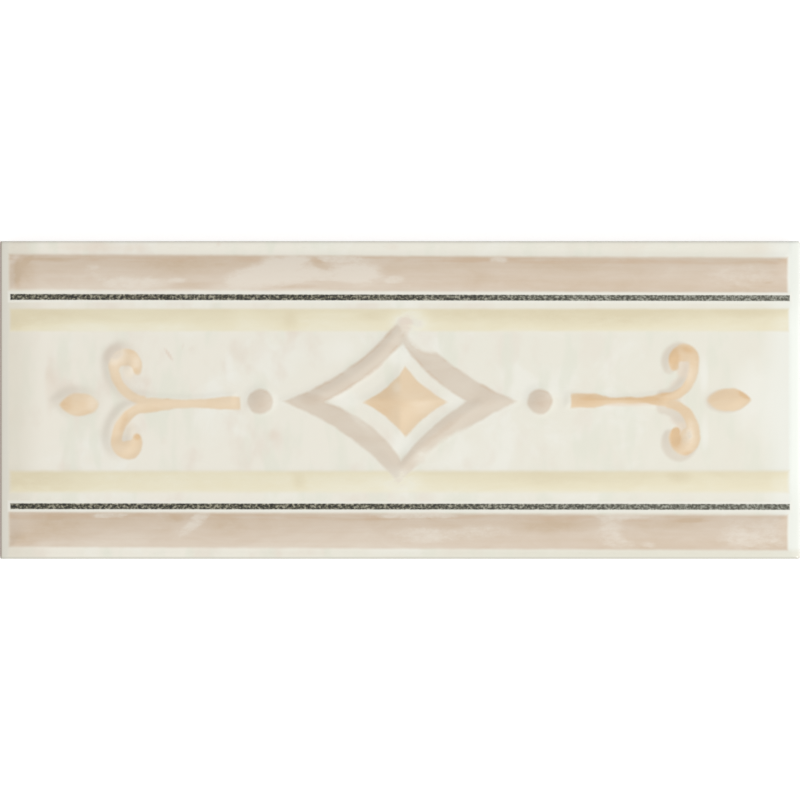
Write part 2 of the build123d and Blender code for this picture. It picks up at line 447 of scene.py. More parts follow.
def tan_wash(x, y):
    """Distance inside the tan wash."""
    shifted_x, shifted_y = x - tan_shift_x, y - tan_shift_y
    x = math.cos(tan_turn) * shifted_x + math.sin(tan_turn) * shifted_y
    y = math.cos(tan_turn) * shifted_y - math.sin(tan_turn) * shifted_x
    left_curls = np.where(y > 0, curls(x, y, left_upper_curl), curls(x, y, left_lower_curl))
    right_curls = np.where(y > 0, curls(x, y, right_upper_curl), curls(x, y, right_lower_curl))
    left = np.max([stems(x, y, left_stem), left_curls, buds(x, y, left_bud)], axis=0)
    drop_x, drop_y, drop_radius = pooled_drop
    drop = drop_radius - np.hypot(x - drop_x, y - drop_y)
    right = np.max([stems(x, y, right_stem), right_curls, buds(x, y, right_bud), drop], axis=0)
    return np.maximum(np.where(x < 0, left, right), hollow_diamond(x, y, painted_pad))


# %% Outlines of the relief of curls and buds, where a warm painted shade marks their shaded flanks
low_curl_drop, bud_drop, bud_trim = 0.9, 0.3, 0.5  # on the right: how far the shade hangs low or is narrower


def spray_shade(x, y):
    """Distance inside the painted shade, which hangs a little low on the right."""
    curl_shade = curls(x, np.where((x > 0) & (y < 0), y + low_curl_drop, y), curl)
    bud_shade = np.where(x > 0, buds(x, y + bud_drop, bud) - bud_trim, buds(x, y, bud))
    return np.maximum(curl_shade, bud_shade)


# %% [markdown]
# ## Marks of the brush
# A wash is never even. Where the brush lifted or the glaze ran, the colour is thin, and where it dried
# last, it pools. These soft oval marks are placed one by one, and two on the pad are painted shade and
# painted light. Each one has its middle, half length, half width, tilt in degrees, and strength: above 0
# the colour pools, and below 0 it is thin.

# %% Marks on the wide bands
upper_band_marks = [
    (-97.0, 31.6, 3.6, 0.7, 90, -0.1),
    (-96.4, 35.2, 1.8, 0.8, 40, -0.4),
    (-95.4, 31.2, 3.2, 0.6, 90, 0.35),
    (-94.6, 31.2, 3.6, 4.4, 0, 0.4),
    (-93.4, 34.6, 2.4, 0.6, 40, 0.4),
    (-87.0, 35.2, 6.0, 0.5, -2, 0.45),
    (-52.0, 33.6, 14.0, 2.2, 0, 0.3),
    (-52.5, 28.6, 5.5, 1.0, 0, 0.3),
    (-20.6, 34.6, 2.4, 1.0, -30, 0.2),
    (-26.0, 28.4, 7.0, 0.4, 0, 0.35),
    (8.0, 32.6, 13.0, 2.4, 0, 0.15),
    (30.0, 29.2, 24.0, 2.0, 0, 0.2),
    (42.0, 33.0, 12.0, 2.0, 0, 0.2),
    (85.0, 34.4, 10.0, 0.7, 0, 0.2),
    (91.8, 29.2, 1.2, 0.3, 10, 0.35),
]
lower_band_marks = [
    (-87.0, -31.8, 8.0, 3.4, 0, 0.3),
    (-95.0, -35.0, 5.0, 2.2, 0, 0.45),
    (-85.8, -29.4, 2.0, 0.5, 0, 0.35),
    (-56.3, -29.6, 3.0, 1.0, 0, 0.35),
    (-42.0, -31.8, 6.0, 2.6, 0, 0.3),
    (-8.3, -29.9, 9.0, 0.3, 0, 0.3),
    (38.0, -31.8, 9.0, 1.9, 0, 0.4),
    (72.5, -30.0, 3.6, 0.6, 0, 0.6),
    (66.0, -31.0, 5.0, 1.2, 0, 0.15),
]

# %% Bare patches of the wide bands, with torn edges: the same values, and the strength is how bare they are
upper_band_bare = [
    (-76.0, 32.6, 3.2, 2.0, 0, 0.35),
    (-67.0, 29.3, 9.0, 1.9, 0, 0.65),
    (-55.2, 29.9, 2.6, 0.8, 0, 0.5),
    (-37.5, 30.2, 7.8, 3.0, 12, 0.75),
    (-28.4, 32.4, 6.6, 4.2, 0, 0.85),
    (-14.0, 31.0, 9.0, 2.8, 0, 0.7),
    (-9.4, 32.4, 5.0, 2.6, 0, 0.5),
    (-20.6, 34.5, 2.6, 1.0, -30, -0.4),
    (-18.0, 35.2, 10.0, 0.9, 0, 0.55),
    (-19.4, 28.6, 7.6, 1.1, 3, -0.6),
    (-1.2, 30.0, 3.0, 1.3, 8, 0.42),
    (1.6, 28.5, 1.8, 0.9, 0, 0.3),
    (24.6, 35.0, 2.8, 1.1, 0, 0.45),
    (85.0, 31.0, 12.0, 4.4, 0, 0.3),
]
lower_band_bare = [
    (-50.6, -30.0, 4.8, 1.7, 42, 0.6),
    (-56.0, -34.0, 3.4, 2.6, 60, 0.22),
    (-72.5, -28.8, 6.0, 0.8, 0, 0.5),
    (4.0, -28.8, 12.0, 0.9, 0, 0.6),
    (56.0, -29.0, 9.0, 0.8, 0, 0.5),
    (57.0, -36.0, 6.0, 1.4, 0, 0.3),
    (5.5, -33.8, 9.0, 2.4, 0, 0.5),
    (21.0, -33.0, 8.0, 2.4, 0, 0.35),
    (52.5, -32.4, 3.8, 4.2, 0, 0.45),
    (62.5, -36.0, 1.8, 1.4, 0, 0.22),
    (73.0, -34.2, 1.2, 2.0, 0, 0.15),
    (84.5, -32.2, 5.4, 3.2, 0, 0.35),
    (89.0, -35.4, 10.0, 2.4, 0, 0.4),
    (93.0, -31.0, 4.0, 3.0, 0, 0.3),
]

# %% Marks on the straw bands and the ring
straw_marks = [
    (2.6, 20.0, 4.4, 3.4, 0, -0.7),
    (-92.0, 20.2, 10.0, 3.2, 0, 0.3),
    (-96.0, 18.8, 3.0, 2.2, 0, 0.3),
    (-70.0, 18.2, 20.0, 1.2, 0, -0.2),
    (-27.3, 19.7, 1.8, 2.4, 0, 0.3),
    (-17.0, 19.4, 9.0, 2.8, 0, -0.15),
    (-7.0, 21.0, 4.0, 1.2, 0, 0.25),
    (18.0, 21.2, 14.0, 1.4, 0, 0.2),
    (52.0, 20.6, 26.0, 3.0, 0, 0.3),
    (86.0, 21.8, 10.0, 1.2, 0, 0.25),
    (95.5, 19.6, 3.0, 2.4, 0, -0.3),
    (-92.0, -20.4, 13.0, 3.4, 0, 0.45),
    (-60.0, -19.0, 38.0, 2.0, 0, -0.22),
    (-25.0, -20.6, 1.6, 2.2, 0, 0.25),
    (-10.0, -20.6, 14.0, 3.0, 0, -0.2),
    (0.5, -20.1, 6.0, 3.2, 0, -0.35),
    (45.0, -20.4, 20.0, 2.6, 0, 0.14),
    (69.6, -19.2, 3.0, 1.6, 0, 0.35),
    (95.5, -20.6, 3.0, 3.0, 0, -0.25),
]
ring_marks = [
    (0.8, 19.0, 2.6, 2.6, 0, -0.1),
    (4.2, 13.4, 3.4, 1.3, -28, -0.5),
    (5.4, -14.0, 2.6, 1.6, 40, -0.4),
    (-0.3, -19.3, 3.2, 2.0, 0, -0.15),
    (-34.9, -0.4, 2.4, 2.4, 0, 0.25),
    (34.9, -0.4, 2.4, 2.4, 0, 0.3),
    (-10.3, -5.1, 3.6, 0.8, -42, -0.4),
    (15.0, -9.1, 9.0, 0.9, 32, -0.3),
    (10.0, -8.1, 8.0, 0.8, 38, 0.25),
    (-22.0, 0.0, 3.0, 1.5, 0, 0.2),
    (20.0, 0.0, 3.5, 2.0, 0, 0.15),
]

# %% Marks on the pad, the scrolls and the buds
pad_marks = [
    # painted shade and painted light: the first mark darkens the pad's left half, and the last pales its
    # right half
    (-5.2, -0.6, 3.8, 5.0, 0, 0.22),
    (-0.8, 3.2, 1.1, 1.3, 0, -0.3),
    (5.3, -1.6, 3.0, 2.4, 0, -0.15),
]
left_spray_marks = [
    (-83.4, -0.9, 1.6, 1.8, 0, 0.28),
    (-76.9, -0.8, 1.4, 1.6, 0, -0.3),
    (-78.6, -3.3, 2.0, 0.7, 12, 0.2),
    (-71.2, 11.6, 3.0, 2.4, 45, -0.6),
    (-67.4, 12.3, 1.4, 0.9, 0, 0.2),
    (-65.7, 9.4, 0.9, 1.4, 0, -0.2),
    (-65.9, 7.2, 0.8, 0.7, 0, 0.3),
    (-68.9, -5.2, 2.4, 0.8, 72, 0.3),
    (-65.5, -9.2, 0.9, 0.9, 0, 0.5),
    (-58.1, 0.5, 0.8, 0.4, 0, 0.4),
]
right_spray_marks = [
    (86.2, 1.3, 1.7, 0.7, -28, 0.9),
    (68.4, 10.4, 1.4, 2.8, 0, 0.5),
    (71.6, 12.6, 1.6, 0.9, -20, 0.35),
    (68.9, -7.6, 0.8, 0.8, 0, 0.8),
    (68.8, -9.6, 1.3, 2.4, 0, 0.7),
    (71.6, -8.6, 1.2, 1.8, 0, -0.2),
    (72.4, -10.4, 1.6, 2.4, 0, -0.25),
    (72.1, -13.4, 1.4, 0.7, 0, 0.35),
    (67.2, 2.2, 3.0, 0.7, 25, 0.5),
    (57.5, 0.35, 10.0, 0.5, 0, 0.35),
    (63.0, -0.3, 3.0, 1.0, 0, 0.25),
    (46.5, -0.1, 4.0, 1.5, 0, 0.25),
    (71.9, 7.4, 0.9, 2.6, 0, -0.3),
    (72.3, -8.0, 0.9, 2.6, 0, -0.3),
    (73.4, 5.8, 1.3, 3.0, -10, -0.15),
    (73.4, -6.2, 1.3, 3.0, 10, -0.15),
]

# %% [markdown]
# The cream field has marks of its own: peach and pink-grey smears (above 0) and patches of cooler white
# (below 0). A few of the smears beside the curls and the right bud are painted shade, and a few pale patches
# in the ring's opening, beside the right curls and at the right end are painted light.

# %% Marks on the cream field
field_smears_shade_and_light = [
    (-27.0, 17.4, 1.8, 3.5, 0, 0.45),
    (-35.5, 12.4, 3.0, 3.8, 0, 0.35),
    (-31.3, -8.8, 2.0, 2.0, 0, 0.4),
    (-87.3, 2.4, 1.6, 9.0, 0, 0.3),
    (-57.7, 11.3, 2.2, 0.5, -56, 0.8),
    (-54.2, 13.4, 1.2, 0.5, 75, 0.4),
    (-86.0, 9.0, 10.0, 9.0, 0, 0.2),
    (-59.0, -10.3, 1.2, 1.6, 0, 0.35),
    (-63.2, 4.8, 1.6, 2.0, 0, 0.35),
    (-42.6, 8.8, 1.4, 4.5, 0, -0.5),
    (52.0, 38.4, 12.0, 1.6, 0, 0.3),
    (0.0, -38.0, 9.0, 1.4, 0, -0.5),
    (-75.0, 38.2, 14.0, 1.4, 0, 0.45),
    (-45.3, 38.9, 0.8, 0.8, 0, 0.5),
    (-2.0, 38.2, 2.5, 1.2, 0, 0.4),
    (-25.0, -38.4, 8.0, 1.2, 0, 0.3),
    (89.0, 37.6, 6.0, 1.8, 0, 0.35),
    (-17.0, 12.0, 7.0, 4.0, 20, -0.35),
    # painted light: this mark and the next three pale the hollow of the ring's opening, which the relief
    # shades
    (0.0, 11.0, 4.0, 3.0, 0, -0.55),
    (0.0, -11.0, 4.0, 3.0, 0, -0.55),
    (-13.5, 0.0, 4.0, 3.0, 0, -0.5),
    (13.5, 0.0, 4.0, 3.0, 0, -0.4),
    (5.0, 16.2, 2.8, 2.2, 0, -0.3),
    (14.0, -13.5, 6.0, 3.0, 30, -0.4),
    # painted light: this mark and the next two whiten the right end and the lit sides right of the right
    # curls
    (90.0, 0.0, 8.0, 14.0, 0, -0.5),
    (75.9, 6.0, 1.3, 5.0, 0, -0.5),
    (76.1, -8.5, 1.2, 5.0, 0, -0.45),
    # painted shade: this mark and the next lie under the arms of the right curls
    (69.0, 4.4, 2.2, 1.2, 30, 0.5),
    (69.3, -5.2, 2.4, 1.4, -20, 0.6),
    (1.2, 19.0, 2.2, 3.2, 0, 0.8),
    (-0.2, -20.2, 2.6, 1.8, 0, 0.6),
    # painted shade: this mark and the next lie beside the upper left curl's head and the right bud's left
    # end
    (-71.4, 11.4, 3.0, 2.4, 45, 0.9),
    (78.0, -0.4, 1.8, 2.2, 0, 0.6),
    (-6.6, 7.2, 4.5, 0.6, 40, 0.45),
    (-16.3, -1.9, 2.2, 0.5, -15, 0.5),
    (5.6, -15.0, 1.2, 1.4, 40, 0.4),
]

# %% [markdown]
# Inside the curls, a film of thin tan was left when the brush turned.

# %% Films inside the curls
film_marks = [
    (-67.6, 7.4, 1.8, 2.6, 0, 0.6),
    (-67.6, -7.4, 1.8, 2.6, 0, 0.5),
    (70.9, 7.8, 2.0, 2.4, 0, 0.9),
    (70.6, -7.4, 1.8, 2.0, 0, 0.9),
    (56.0, -0.9, 9.0, 0.8, 0, 0.7),
]

# %% Keep washes and marks as attributes of the mesh
mark_power = 1.5  # above 1, a mark is flatter in its middle and fades faster at its rim
outline_reach = 5  # millimetres, past which the distance to an outline no longer matters


def soft_marks(x, y, marks):
    """Sum of soft oval marks."""
    total = np.zeros_like(x)
    for middle_x, middle_y, half_length, half_width, tilt, strength in marks:
        turn = math.radians(tilt)
        along = (x - middle_x) * math.cos(turn) + (y - middle_y) * math.sin(turn)
        across = (y - middle_y) * math.cos(turn) - (x - middle_x) * math.sin(turn)
        spread = (along / half_length) ** 2 + (across / half_width) ** 2
        total += strength * np.exp(-(spread**mark_power))
    return total


def keep_attribute(name, values):
    attribute = tile.data.attributes.new(name, "FLOAT", "POINT")
    attribute.data.foreach_set("value", np.asarray(values, dtype=np.float32))


places = coordinates(tile)
x, y = places[:, 0], places[:, 1]
all_marks = upper_band_marks + lower_band_marks + straw_marks + ring_marks
all_marks += pad_marks + left_spray_marks + right_spray_marks
outlines = {"tan_wash": tan_wash, "taupe_wash": taupe_wash, "spray_shade": spray_shade}
for name, outline in outlines.items():
    keep_attribute(name, np.clip(outline(x, y), -outline_reach, outline_reach))
keep_attribute("pigment", soft_marks(x, y, all_marks))
keep_attribute("bare", soft_marks(x, y, upper_band_bare + lower_band_bare))
keep_attribute("stain_shade_and_light", soft_marks(x, y, field_smears_shade_and_light))
keep_attribute("film", soft_marks(x, y, film_marks))
print("brush marks", len(all_marks), "field marks", len(field_smears_shade_and_light))

# %% [markdown]
# ## Node helpers
# A painted glaze is mostly arithmetic on distances and noise. This small bench adds a node, plugs in
# numbers or other nodes, and hands back the output, so that a formula reads in one line.


# %% A bench for nodes
def linear(red, green, blue):
    """A colour as it is seen on screen, 0 to 255, as the linear values that a shader takes."""
    seen = np.array([red, green, blue]) / 255
    value = np.where(seen <= 0.04045, seen / 12.92, ((seen + 0.055) / 1.055) ** 2.4)
    return (*value.tolist(), 1)


class Bench:
    """A material and its nodes, with the place on the object in millimetres."""

    def __init__(self, name):
        self.material = bpy.data.materials.new(name)
        self.material.use_nodes = True
        self.tree = self.material.node_tree
        self.surface = self.tree.nodes["Principled BSDF"]
        place = self.add("ShaderNodeTexCoord").outputs["Object"]
        self.place = self.vector("SCALE", place, scale=1 / MM)
        axes = self.add("ShaderNodeSeparateXYZ")
        self.plug(self.place, axes.inputs[0])
        self.x, self.y, self.z = axes.outputs

    def add(self, kind, **settings):
        node = self.tree.nodes.new(kind)
        for key, value in settings.items():
            setattr(node, key, value)
        return node

    def plug(self, value, socket):
        """Links another node's output to the socket, or sets it to a plain value."""
        if isinstance(value, bpy.types.NodeSocket):
            self.tree.links.new(value, socket)
        else:
            socket.default_value = value

    def math(self, operation, *values, clamp=False):
        node = self.add("ShaderNodeMath", operation=operation, use_clamp=clamp)
        for value, socket in zip(values, node.inputs):
            self.plug(value, socket)
        return node.outputs[0]

    def vector(self, operation, first, second=None, scale=None):
        node = self.add("ShaderNodeVectorMath", operation=operation)
        self.plug(first, node.inputs[0])
        if second is not None:
            self.plug(second, node.inputs[1])
        if scale is not None:
            self.plug(scale, node.inputs["Scale"])
        return node.outputs[0]

    def attribute(self, name):
        return self.add("ShaderNodeAttribute", attribute_name=name).outputs["Fac"]

    def noise(self, scale, stretch=(1, 1, 1), shift=0, detail=3, roughness=0.5, distortion=0):
        """Noise from -0.5 to 0.5: scale is in waves per millimetre, and stretch slows it along an axis."""
        slowed = self.vector("MULTIPLY", self.place, stretch)
        moved = self.vector("ADD", slowed, (shift, shift * 0.7, shift * 1.3))
        node = self.add("ShaderNodeTexNoise")
        self.plug(moved, node.inputs["Vector"])
        settings = {"Scale": scale, "Detail": detail, "Roughness": roughness, "Distortion": distortion}
        for key, value in settings.items():
            self.plug(value, node.inputs[key])
        return self.math("SUBTRACT", node.outputs["Fac"], 0.5)

    def step(self, value, low, high, top=1.0):
        """Soft step from 0 to top as the value goes from low to high."""
        node = self.add("ShaderNodeMapRange", interpolation_type="SMOOTHSTEP")
        settings = {"Value": value, "From Min": low, "From Max": high, "To Min": 0.0, "To Max": top}
        for key, given in settings.items():
            self.plug(given, node.inputs[key])
        return node.outputs["Result"]

    def between(self, amount, first, second):
        """A number that goes from the first to the second as the amount goes from 0 to 1."""
        return self.math("MULTIPLY_ADD", amount, self.math("SUBTRACT", second, first), first)

    def mix(self, amount, under, over):
        """A colour that goes from the one under to the one over it as the amount goes from 0 to 1."""
        node = self.add("ShaderNodeMix", data_type="RGBA")
        self.plug(amount, node.inputs["Factor"])
        self.plug(under, node.inputs[6])
        self.plug(over, node.inputs[7])
        return node.outputs[2]

    def ramp(self, value, *colours):
        """Colours spread evenly over values from 0 to 1."""
        node = self.add("ShaderNodeValToRGB")
        elements = node.color_ramp.elements
        while len(elements) < len(colours):
            elements.new(0.5)
        for index, colour in enumerate(colours):
            elements[index].position = index / (len(colours) - 1)
            elements[index].color = colour
        self.plug(value, node.inputs["Fac"])
        return node.outputs["Color"]


# %% [markdown]
# ## The cream ground
# Under the clear glaze lies a cream ground, a little pinker on the left and cooler on the right, clouded
# with faint peach and grey. Noise at three scales makes the clouds, and the marks add the smears, along with
# some painted shade and painted light beside the relief. A warm painted shade lies on the relief of the
# curls and buds where the tan leaves it bare, and a film of tan lies inside the curls. The left end, the
# strip past the bands' left ends and the lower right margin are darkened as painted shade. The right end and
# the strip past the bands' right ends are whitened with a cooler white as a painted highlight.

# %% The cream ground
glaze = Bench("painted_glaze")
creams = [linear(236, 231, 218), linear(234, 231, 218), linear(232, 229, 215)]  # from left to right
pale_cloud, pink_cloud, grey_drip = linear(239, 238, 229), linear(229, 220, 206), linear(227, 227, 212)
cloud = glaze.noise(0.06, detail=4, roughness=0.6, distortion=0.5)
patch = glaze.noise(0.11, stretch=(1, 0.7, 1), shift=31, detail=3, roughness=0.55)
drip = glaze.noise(0.2, stretch=(1, 0.35, 1), shift=57, detail=2)
side_to_side = glaze.math("MULTIPLY_ADD", glaze.x, 1 / tile_length, 0.5)
tone = glaze.math("ADD", side_to_side, glaze.math("MULTIPLY", cloud, 1.2), clamp=True)
ground = glaze.ramp(tone, *creams)
ground = glaze.mix(glaze.step(cloud, 0.02, 0.2, top=0.6), ground, pale_cloud)
pink = glaze.math("MULTIPLY", glaze.step(patch, 0.0, 0.2, top=0.75), glaze.step(glaze.x, 140, -60))
ground = glaze.mix(pink, ground, pink_cloud)
ground = glaze.mix(glaze.step(drip, 0.0, 0.2, top=0.7), ground, grey_drip)

# %% Smears and pale patches, partly painted shade and light, and the painted shade and films of the sprays
smear_and_shade_tone, pale_patch_and_light_tone, shade_tone = linear(226, 212, 196), linear(240, 239, 230), linear(219, 209, 193)
left_film, right_film = linear(238, 227, 208), linear(230, 216, 197)
right_half = glaze.step(glaze.x, -1, 1)
# the stain carries smears, and also painted shade (above 0) and painted light (below 0) beside the relief
stain_shade_and_light = glaze.math("ADD", glaze.attribute("stain_shade_and_light"), glaze.math("MULTIPLY", patch, 0.5))
ground = glaze.mix(glaze.step(stain_shade_and_light, 0.1, 0.8, top=0.85), ground, smear_and_shade_tone)
ground = glaze.mix(glaze.step(stain_shade_and_light, -0.1, -0.7, top=0.8), ground, pale_patch_and_light_tone)
# painted shade on the relief of the curls and buds, where the tan leaves it bare, softer on the left
left_shade = glaze.step(glaze.attribute("spray_shade"), -2.2, 0.2, top=0.45)
right_shade = glaze.step(glaze.attribute("spray_shade"), -1.2, 0.0, top=0.8)
shade = glaze.between(right_half, left_shade, right_shade)
ground = glaze.mix(shade, ground, shade_tone)
film_colour = glaze.mix(right_half, left_film, right_film)
ground = glaze.mix(glaze.step(glaze.attribute("film"), 0.05, 0.7, top=0.9), ground, film_colour)

# %% Painted shade and highlight past the ends of the bands, and painted shade along the lower edge
left_end_shade, left_strip_shade, right_end_highlight = linear(220, 214, 198), linear(224, 221, 209), linear(238, 239, 231)
cold_highlight, dull_highlight, lower_margin_shade = linear(241, 245, 238), linear(232, 235, 227), linear(223, 220, 204)
# painted shade: the left end darkens towards its edge, and more in the strip past the bands' left ends
ground = glaze.mix(glaze.step(glaze.x, -88, -97, top=0.7), ground, left_end_shade)
ground = glaze.mix(glaze.step(glaze.x, -97.3, -98.0, top=0.8), ground, left_strip_shade)
# painted highlight: the right end whitens, most in the strip past the bands' right ends, less beside the
# bands
ground = glaze.mix(glaze.step(glaze.x, 89, 96, top=0.7), ground, right_end_highlight)
beside_bands = glaze.step(glaze.math("ABSOLUTE", glaze.y), 16, 30)
right_strip_highlight = glaze.mix(beside_bands, cold_highlight, dull_highlight)
ground = glaze.mix(glaze.step(glaze.x, 96.7, 97.6, top=0.8), ground, right_strip_highlight)
# painted shade along the lower margin on the right
low_right_shade = glaze.math("MULTIPLY", glaze.step(glaze.y, -36.6, -38.4, top=0.7), glaze.step(glaze.x, -60, 60))
ground = glaze.mix(low_right_shade, ground, lower_margin_shade)
print("nodes of the ground", len(glaze.tree.nodes))

# %% [markdown]
# ## Washes
# A wash is a density of pigment: the brush marks, a marbled noise and a slow change across the band add
# up, and a ramp of colours turns the sum into a thin, even or pooled tone. Where it is very thin, the
# cream shows through. The outlines waver like a brush, and the bare patches of the wide bands get torn
# edges from a finer noise.

# %% Marbling and wobble that all washes share
waver = glaze.noise(0.3, shift=7, detail=3)
marble = glaze.noise(0.16, stretch=(0.45, 1, 1), shift=3, detail=5, roughness=0.6, distortion=0.8)
streak = glaze.noise(0.9, stretch=(0.05, 1, 1), shift=23, detail=3)
torn = glaze.noise(0.6, stretch=(0.5, 1, 1), shift=71, detail=5, roughness=0.7)
marks = glaze.math("MULTIPLY", glaze.attribute("pigment"), glaze.math("MULTIPLY_ADD", torn, 2.0, 1.0))
brushed = glaze.math("MULTIPLY_ADD", marble, 0.7, marks)
ragged = glaze.math("MULTIPLY_ADD", torn, 1.4, glaze.attribute("bare"))
bare_patch = glaze.step(glaze.attribute("bare"), 0.02, 0.4)
bare_patch = glaze.math("MULTIPLY", glaze.step(ragged, 0.0, 0.8, top=0.8), bare_patch)

# %% How a wash is laid
dried_and_shade_colour, worn_colour = linear(203, 175, 146), linear(227, 218, 204)


def wavering(distance, amount):
    """The distance to an outline that wavers, as a brush does."""
    return glaze.math("MULTIPLY_ADD", waver, amount, distance)


def lay_wash(under, distance, density, soft, colours, dried_and_shade=None, worn=None):
    """Lays a wash over what is under it: soft is how far its edge fades, to each side of its outline.

    The dried amount browns the colour: pigment that dried last on the bands, and on the ring partly dried
    pigment and partly painted shade.
    """
    cover = glaze.math("MULTIPLY", glaze.step(distance, -soft, soft), glaze.step(density, -0.35, 0.15))
    colour = glaze.ramp(density, *colours)
    if dried_and_shade is not None:
        colour = glaze.mix(dried_and_shade, colour, dried_and_shade_colour)
    if worn is not None:
        colour = glaze.mix(worn, colour, worn_colour)
    return glaze.mix(cover, under, colour)


def printed_band(middle, tilt, half, left_end, right_end):
    """Distance inside a printed band, and the place across it: 0 at its lower edge, 1 at its upper one."""
    level = glaze.math("MULTIPLY_ADD", glaze.x, tilt, middle)
    offset = glaze.math("SUBTRACT", glaze.y, level)
    to_side = glaze.math("SUBTRACT", half, glaze.math("ABSOLUTE", offset))
    to_left = glaze.math("SUBTRACT", glaze.x, left_end)
    to_right = glaze.math("SUBTRACT", right_end, glaze.x)
    to_end = glaze.math("MINIMUM", to_left, to_right)
    across = glaze.math("MULTIPLY_ADD", offset, 0.5 / half, 0.5)
    return glaze.math("MINIMUM", to_side, to_end), across


# %% Taupe bands with a brown line where the colour dried last
taupe_base, taupe_gain = 0.33, 0.35  # density at the lower edge, and what it gains up to the upper one
taupe_colours = [linear(226, 216, 201), linear(213, 197, 178), linear(202, 181, 155)]
painted = ground
for middle, tilt in ((31.58, -0.0045), (-32.71, -0.0046)):
    distance, across = printed_band(middle, tilt, half=4.4, left_end=-97.6, right_end=96.75)
    lower_right = glaze.math("MULTIPLY", glaze.step(across, 0.5, 0.1, top=0.3), glaze.step(glaze.x, 10, 60))
    density = glaze.math("MULTIPLY_ADD", across, taupe_gain, glaze.math("ADD", lower_right, taupe_base))
    density = glaze.math("ADD", density, glaze.math("MULTIPLY_ADD", streak, 0.35, brushed))
    near_top = glaze.math("MULTIPLY", glaze.step(across, 0.76, 0.86), glaze.step(across, 0.98, 0.92))
    broken = glaze.step(glaze.math("ADD", streak, marble), -0.2, 0.2, top=0.5)
    dried_and_shade = glaze.math("MULTIPLY", near_top, glaze.math("SUBTRACT", broken, bare_patch, clamp=True))
    outline = wavering(distance, amount=0.3)
    painted = lay_wash(
        painted, outline, density, soft=0.5, colours=taupe_colours, dried_and_shade=dried_and_shade, worn=bare_patch
    )

# %% Straw bands
straw_base, straw_gain = 0.3, 0.45  # density at the lower edge, and what it gains up to the upper one
straw_colours = [linear(236, 232, 212), linear(231, 223, 195), linear(222, 211, 180)]
for middle, half, soft in ((19.95, 2.8, 0.5), (-20.4, 2.65, 0.7)):
    distance, across = printed_band(middle, 0.0, half, left_end=-97.3, right_end=97.0)
    density = glaze.math("MULTIPLY_ADD", across, straw_gain, straw_base)
    density = glaze.math("ADD", density, glaze.math("MULTIPLY_ADD", streak, 0.15, brushed))
    painted = lay_wash(painted, wavering(distance, amount=0.3), density, soft, straw_colours)

# %% Taupe diamond and studs, then the tan scrolls, buds and pad
ring_colours = [linear(226, 218, 203), linear(217, 205, 188), linear(206, 188, 167)]
ring_base = 0.5
ring_density = glaze.math("ADD", brushed, ring_base)
ring_distance = wavering(glaze.attribute("taupe_wash"), amount=0.8)
# partly dried pigment and partly painted shade: the ring darkens at its outer edges on its upper side
ring_dried_and_shaded_edge = glaze.step(ring_distance, 1.0, 0.3)
ring_dried_and_shaded_edge = glaze.math("MULTIPLY", ring_dried_and_shaded_edge, glaze.step(marble, -0.1, 0.15, top=0.4))
ring_dried_and_shaded_edge = glaze.math("MULTIPLY", ring_dried_and_shaded_edge, glaze.step(glaze.y, -6, 4))
painted = lay_wash(painted, ring_distance, ring_density, soft=0.5, colours=ring_colours, dried_and_shade=ring_dried_and_shaded_edge)
tan_colours = [linear(236, 221, 198), linear(228, 206, 175), linear(220, 188, 147)]
tan_base, tan_gain = 0.42, 0.22  # density at the left end of the tile, and what it gains to the right end
tan_density = glaze.math("MULTIPLY_ADD", side_to_side, tan_gain, glaze.math("ADD", brushed, tan_base))
tan_distance = wavering(glaze.attribute("tan_wash"), amount=0.7)
painted = lay_wash(painted, tan_distance, tan_density, soft=0.4, colours=tan_colours)
print("nodes with the washes", len(glaze.tree.nodes))

# %% [markdown]
# ## Lines of dark grit
# The thin lines are black grains in the glaze, with paler glaze between them. Single grains would need a
# far finer mesh, so a fine noise makes them, and a slow one gathers them in clumps. They are blacker on
# the left and greyer towards the right, and the glaze beside them is pale.

# %% Grit lines
grain = glaze.noise(1.45, stretch=(0.9, 1, 1), shift=5, detail=2, roughness=0.6)
clump = glaze.noise(0.25, stretch=(1, 0.3, 1), shift=19, detail=2)
grain_tone = glaze.math("MULTIPLY_ADD", clump, 0.5, 0.42)
grain_tone = glaze.math("MULTIPLY_ADD", grain, 3.6, grain_tone, clamp=True)
black_grit = [linear(18, 16, 4), linear(86, 83, 66), linear(156, 152, 134)]
grey_grit = [linear(78, 77, 66), linear(121, 121, 109), linear(164, 165, 154)]
left_grit, right_grit = glaze.ramp(grain_tone, *black_grit), glaze.ramp(grain_tone, *grey_grit)
grit = glaze.mix(glaze.step(glaze.x, -30, 90), left_grit, right_grit)
for middle, tilt in ((25.59, -0.0016), (-26.61, -0.0009)):
    distance, _ = printed_band(middle, tilt, half=0.73, left_end=-97.3, right_end=97.3)
    painted = glaze.mix(glaze.step(distance, -0.9, -0.4, top=0.6), painted, pale_cloud)
    rough_edge = glaze.math("MULTIPLY_ADD", grain, -0.15, distance)
    painted = glaze.mix(glaze.step(rough_edge, -0.15, 0.15), painted, grit)

# %% [markdown]
# ## Finish of the glaze
# On the arris the glaze runs thin and the clay tints it. The left arris is darkened further as painted
# shade, and the lower arris is painted darker. Further down the side the glaze ends in an uneven line, below
# which the clay is bare. The surface itself is smooth, with a faint ripple, which is fine enough to be left
# to bump.

# %% Thin glaze on the arris, painted shade on the left arris, and a darker lower arris
thin_colour, left_arris_shade, lower_edge = linear(208, 200, 186), linear(166, 142, 124), linear(198, 196, 184)
thin_start, thin_end = field_z - 0.35, field_z - 0.9
thin = glaze.step(glaze.math("MULTIPLY_ADD", patch, 0.15, glaze.z), thin_start, thin_end, top=0.4)
painted = glaze.mix(thin, painted, thin_colour)
